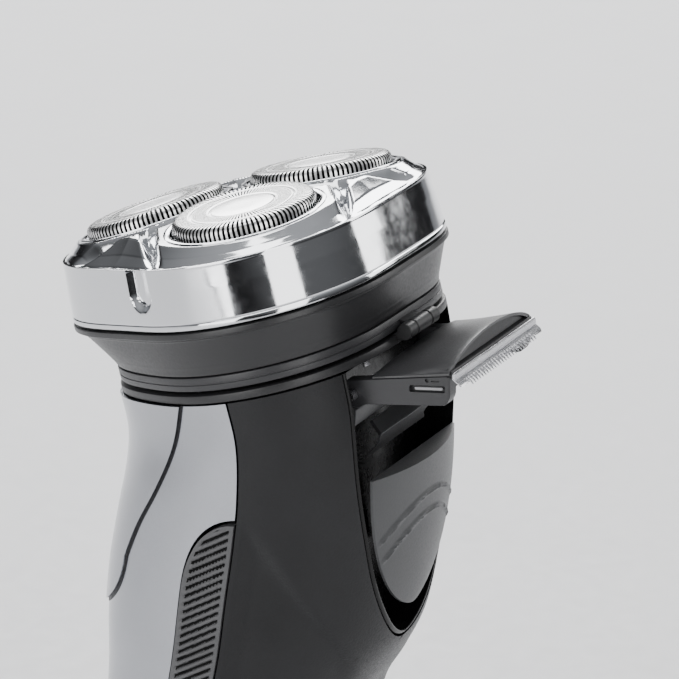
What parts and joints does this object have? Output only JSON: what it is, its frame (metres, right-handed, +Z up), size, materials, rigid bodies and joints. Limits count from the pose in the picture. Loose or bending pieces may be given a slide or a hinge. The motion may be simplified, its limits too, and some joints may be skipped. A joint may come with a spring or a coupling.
{
  "type": "electric shaver",
  "caption": "Rotary electric shaver with a tilted sprung three-lobed head, waisted handle with side grips and a fold-out rear trimmer.",
  "frame": {"origin": "centre of the flat base face", "axes": "+Z up the handle to the head, +X across the width, -Y the silver front, +Y the trimmer side"},
  "size_m": [0.0608, 0.0743, 0.1581],
  "materials": {
    "silver": "satin metallic",
    "black": "fine grain",
    "gloss_black": "polished",
    "grip_rubber": "ribbed",
    "chrome": "polished",
    "dark_grey": "fine grain",
    "steel": "brushed",
    "white_plastic": "moulded",
    "board_green": "lacquered board",
    "brass": "plain",
    "lens": "clear tint",
    "cell_wrap": "shrink wrap"
  },
  "bodies": {
    "handle": {"front_housing": "silver", "front_panel": "silver", "rear_housing": "black", "side_grip_left": "grip_rubber", "side_grip_right": "grip_rubber", "collar_ring": "black", "gear_deck": "dark_grey", "gear_cover": "dark_grey", "seal_ring": "grip_rubber", "deck_screw_1": "steel", "deck_screw_2": "steel", "deck_screw_3": "steel", "trimmer_bezel": "gloss_black", "trimmer_cam_plate": "dark_grey", "trimmer_hinge_pin": "steel", "head_hinge_pin": "steel", "base_cap": "black", "base_screw_1": "steel", "base_screw_2": "steel", "charging_socket": "black", "socket_pin_1": "brass", "socket_pin_2": "brass", "chassis": "white_plastic", "battery_cell_1": "cell_wrap", "battery_cell_2": "cell_wrap", "battery_contact_1": "brass", "battery_contact_2": "brass", "circuit_board": "board_green", "power_switch": "white_plastic", "indicator_lens": "lens", "motor_can": "steel"},
    "motor_rotor": {"motor_shaft": "steel", "motor_pinion": "brass"},
    "head": {"head_cover": "chrome", "hair_chamber": "dark_grey", "neck_ring": "dark_grey", "retaining_frame": "dark_grey"},
    "head_lock": {"lock_knob": "dark_grey"},
    "trimmer": {"trimmer_frame": "dark_grey", "trimmer_cover": "black", "trimmer_comb": "steel"},
    "trimmer_blade": {"trimmer_moving_blade": "steel"},
    "slider": {"trimmer_slider": "dark_grey", "slider_carriage": "black"},
    "power_key": {"power_button": "gloss_black"},
    "release_key": {"release_button": "chrome"},
    "cap_1": {"shaving_cap_1": "chrome"},
    "blade_1": {"cutter_1": "steel"},
    "drive_line_1": {"driven_gear_1": "white_plastic", "drive_spindle_1": "steel"},
    "cap_2": {"shaving_cap_2": "chrome"},
    "blade_2": {"cutter_2": "steel"},
    "drive_line_2": {"driven_gear_2": "white_plastic", "drive_spindle_2": "steel"},
    "cap_3": {"shaving_cap_3": "chrome"},
    "blade_3": {"cutter_3": "steel"},
    "drive_line_3": {"driven_gear_3": "white_plastic", "drive_spindle_3": "steel"}
  },
  "joints": [
    {"name": "head_hinge", "type": "hinge", "parent": "handle", "child": "head", "pos_m": [0, 0.02975, 0.13615], "axis": [-1, 0, 0], "range_deg": [0, 55]},
    {"name": "head_lock_turn", "type": "hinge", "parent": "head", "child": "head_lock", "pos_m": [0, 0.00227, 0.14145], "axis": [0, -0.2721, 0.9623], "range_deg": [0, 90]},
    {"name": "motor_spin", "type": "hinge", "parent": "handle", "child": "motor_rotor", "pos_m": [0, 0.0058, 0.12894], "axis": [0, -0.2721, 0.9623], "continuous": true},
    {"name": "trimmer_hinge", "type": "hinge", "parent": "handle", "child": "trimmer", "pos_m": [0, 0.026, 0.1288], "axis": [1, 0, 0], "range_deg": [-90, 0]},
    {"name": "trimmer_slide", "type": "slide", "parent": "handle", "child": "slider", "axis": [0, 0, 1], "range_m": [-0.00495, 0]},
    {"name": "trimmer_blade_stroke", "type": "slide", "parent": "trimmer", "child": "trimmer_blade", "axis": [1, 0, 0], "range_m": [-0.001, 0.001]},
    {"name": "power_press", "type": "slide", "parent": "handle", "child": "power_key", "axis": [0, 1, 0], "range_m": [0, 0.0008], "stiffness_N_per_m": 400},
    {"name": "release_press", "type": "slide", "parent": "handle", "child": "release_key", "axis": [0, 0.9755, 0.2198], "range_m": [0, 0.0006], "stiffness_N_per_m": 400},
    {"name": "cap_1_press", "type": "slide", "parent": "head", "child": "cap_1", "axis": [0.0792, -0.2269, 0.9707], "range_m": [-0.0015, 0], "stiffness_N_per_m": 600, "springref_m": 0.0003},
    {"name": "cutter_1_spin", "type": "hinge", "parent": "cap_1", "child": "blade_1", "pos_m": [0.01349, 0.00634, 0.15567], "axis": [0.0792, -0.2269, 0.9707], "continuous": true},
    {"name": "drive_1_spin", "type": "hinge", "parent": "handle", "child": "drive_line_1", "pos_m": [0.01264, 0.01283, 0.13093], "axis": [0, -0.2721, 0.9623], "continuous": true},
    {"name": "cap_2_press", "type": "slide", "parent": "head", "child": "cap_2", "axis": [-0.0792, -0.2269, 0.9707], "range_m": [-0.0015, 0], "stiffness_N_per_m": 600, "springref_m": 0.0003},
    {"name": "cutter_2_spin", "type": "hinge", "parent": "cap_2", "child": "blade_2", "pos_m": [-0.01349, 0.00634, 0.15567], "axis": [-0.0792, -0.2269, 0.9707], "continuous": true},
    {"name": "drive_2_spin", "type": "hinge", "parent": "handle", "child": "drive_line_2", "pos_m": [-0.01264, 0.01283, 0.13093], "axis": [0, -0.2721, 0.9623], "continuous": true},
    {"name": "cap_3_press", "type": "slide", "parent": "head", "child": "cap_3", "axis": [0, -0.359, 0.9333], "range_m": [-0.0015, 0], "stiffness_N_per_m": 600, "springref_m": 0.0003},
    {"name": "cutter_3_spin", "type": "hinge", "parent": "cap_3", "child": "blade_3", "pos_m": [0, -0.01614, 0.14931], "axis": [0, -0.359, 0.9333], "continuous": true},
    {"name": "drive_3_spin", "type": "hinge", "parent": "handle", "child": "drive_line_3", "pos_m": [0, -0.00825, 0.12497], "axis": [0, -0.2721, 0.9623], "continuous": true}
  ],
  "couplings": [
    {"joint": "trimmer_slide", "follows": "trimmer_hinge", "m_per_rad": 0.0031194},
    {"joint": "drive_1_spin", "follows": "motor_spin", "ratio": -1},
    {"joint": "cutter_1_spin", "follows": "motor_spin", "ratio": -1},
    {"joint": "drive_2_spin", "follows": "motor_spin", "ratio": -1},
    {"joint": "cutter_2_spin", "follows": "motor_spin", "ratio": -1},
    {"joint": "drive_3_spin", "follows": "motor_spin", "ratio": -1},
    {"joint": "cutter_3_spin", "follows": "motor_spin", "ratio": -1}
  ]
}
